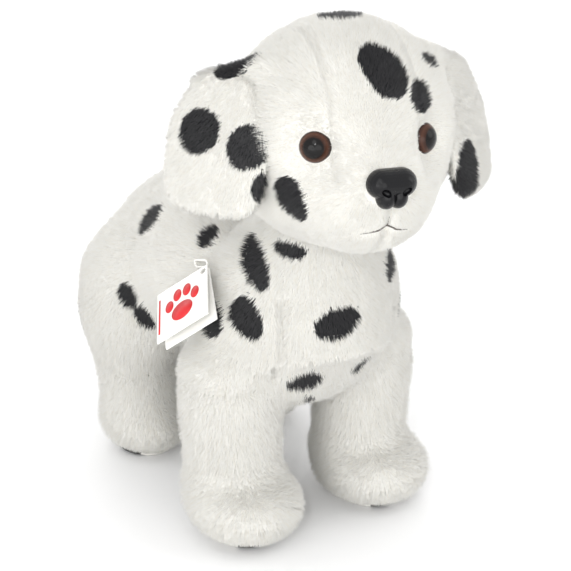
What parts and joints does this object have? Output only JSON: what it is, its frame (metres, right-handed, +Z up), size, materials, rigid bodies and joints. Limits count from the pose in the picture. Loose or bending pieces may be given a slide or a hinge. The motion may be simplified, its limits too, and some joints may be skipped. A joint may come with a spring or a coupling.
{
  "type": "plush dog",
  "caption": "Standing stuffed puppy in white pile fabric with printed black spots, hanging ears, glossy eyes and nose, a turned head and a folded card tag.",
  "frame": {"origin": "on the ground under the middle of the puppy, at the bottom centre of its box", "axes": "-Y the way the puppy faces, +X its left side, +Z up"},
  "size_m": [0.1551, 0.25, 0.2576],
  "materials": {
    "spotted_pile": "short white pile with printed black spots",
    "leg_pile": "longer plain white pile",
    "sole_pile": "short white pile with printed black spots",
    "stuffing": "loose polyester filling",
    "eye_plastic": "glossy dome, brown ring round a black pupil",
    "nose_plastic": "glossy black, faintly grained",
    "washer_plastic": "plain moulded plastic",
    "mouth_thread": "dark sewing thread",
    "tag_card": "white coated card with a small red paw print",
    "tag_loop": "thin white thread"
  },
  "bodies": {
    "torso": {"body_panel_left": "spotted_pile", "body_panel_right": "spotted_pile", "belly_panel": "spotted_pile", "body_stuffing": "stuffing", "front_leg_cover_left": "leg_pile", "front_leg_cover_right": "leg_pile", "hind_leg_cover_left": "leg_pile", "hind_leg_cover_right": "leg_pile", "front_leg_stuffing_left": "stuffing", "front_leg_stuffing_right": "stuffing", "hind_leg_stuffing_left": "stuffing", "hind_leg_stuffing_right": "stuffing", "front_sole_left": "sole_pile", "front_sole_right": "sole_pile", "hind_sole_left": "sole_pile", "hind_sole_right": "sole_pile"},
    "head": {"head_panel_left": "spotted_pile", "head_panel_right": "spotted_pile", "head_gusset": "spotted_pile", "head_stuffing": "stuffing", "eye_left": "eye_plastic", "eye_right": "eye_plastic", "eye_washer_left": "washer_plastic", "eye_washer_right": "washer_plastic", "nose": "nose_plastic", "nose_washer": "washer_plastic", "mouth_thread": "mouth_thread"},
    "ear_left": {"ear_front_left": "spotted_pile", "ear_back_left": "spotted_pile"},
    "ear_right": {"ear_front_right": "spotted_pile", "ear_back_right": "spotted_pile"},
    "tail": {"tail_cover": "spotted_pile", "tail_stuffing": "stuffing"},
    "tag": {"tag_front_leaf": "tag_card", "tag_back_leaf": "tag_card", "tag_loop": "tag_loop"}
  },
  "joints": [
    {"name": "head_turn", "type": "hinge", "parent": "torso", "child": "head", "pos_m": [0, -0.0475, 0.15], "axis": [0, 0, 1], "range_deg": [-20, 20], "stiffness_Nm_per_rad": 0.08},
    {"name": "ear_lift_left", "type": "hinge", "parent": "head", "child": "ear_left", "pos_m": [0.04853, -0.0712, 0.23123], "axis": [-0.8018, -0.4588, 0.3829], "range_deg": [0, 95]},
    {"name": "ear_lift_right", "type": "hinge", "parent": "head", "child": "ear_right", "pos_m": [-0.04819, -0.05239, 0.23467], "axis": [-0.5961, 0.7306, -0.3332], "range_deg": [0, 95]},
    {"name": "tail_lift", "type": "hinge", "parent": "torso", "child": "tail", "pos_m": [0, 0.1075, 0.1195], "axis": [1, 0, 0], "range_deg": [0, 75], "stiffness_Nm_per_rad": 0.01},
    {"name": "tag_swing", "type": "hinge", "parent": "torso", "child": "tag", "pos_m": [-0.047, -0.0125, 0.135], "axis": [0, 1, 0], "range_deg": [0, 40]}
  ]
}
